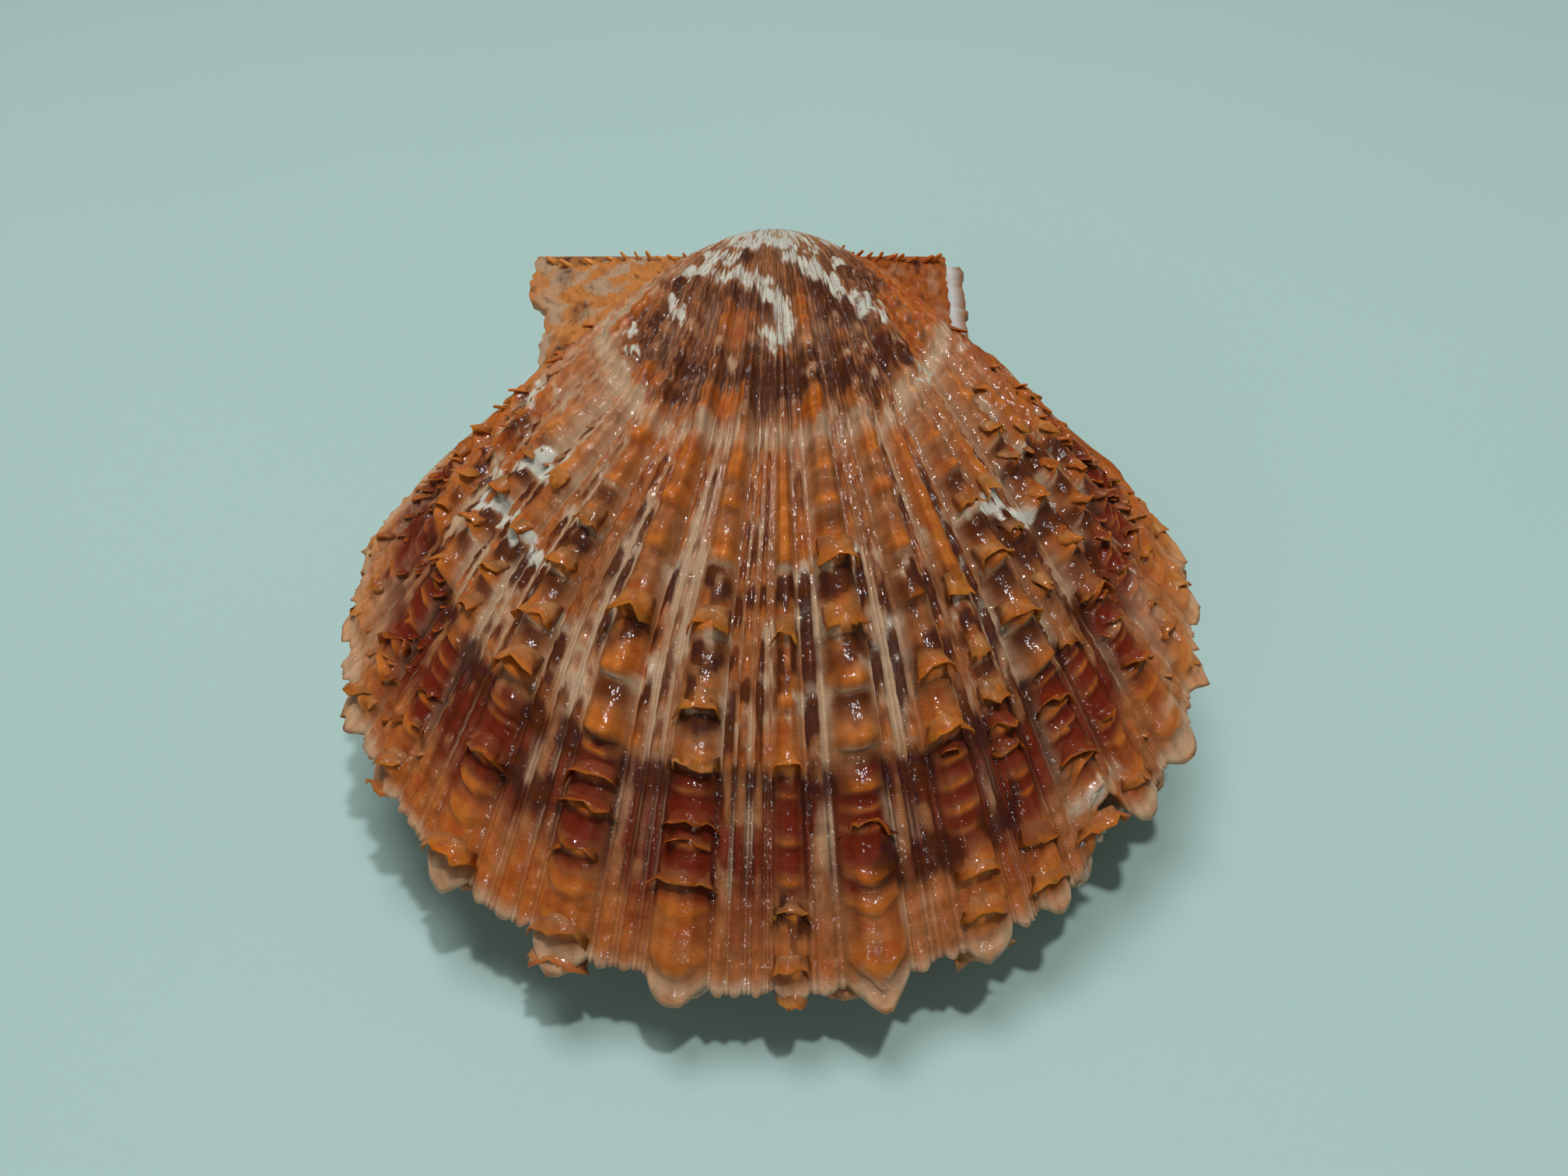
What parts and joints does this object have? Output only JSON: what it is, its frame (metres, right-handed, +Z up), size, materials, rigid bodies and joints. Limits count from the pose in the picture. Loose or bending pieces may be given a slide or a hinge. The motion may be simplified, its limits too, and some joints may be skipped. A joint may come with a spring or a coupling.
{
  "type": "scallop shell",
  "caption": "Closed scallop shell: two domed, ribbed and scaly valves with ears, joined by a thin hinge ligament and lying on the lower valve.",
  "frame": {"origin": "middle of the footprint's box, on the surface that the shell lies on", "axes": "+Z up, away from that surface; +Y towards the beaks and the hinge, -Y towards the far margin; +X to the right when looking from the far margin to the hinge"},
  "size_m": [0.0708, 0.0752, 0.0329],
  "materials": {
    "upper_shell": "waxy shell, orange with dark and cream flecks",
    "lower_shell": "satin shell, pale orange and cream",
    "ligament": "dry horny strip"
  },
  "bodies": {
    "root": {"upper_valve": "upper_shell", "lower_valve": "lower_shell", "hinge_ligament": "ligament"}
  },
  "joints": []
}
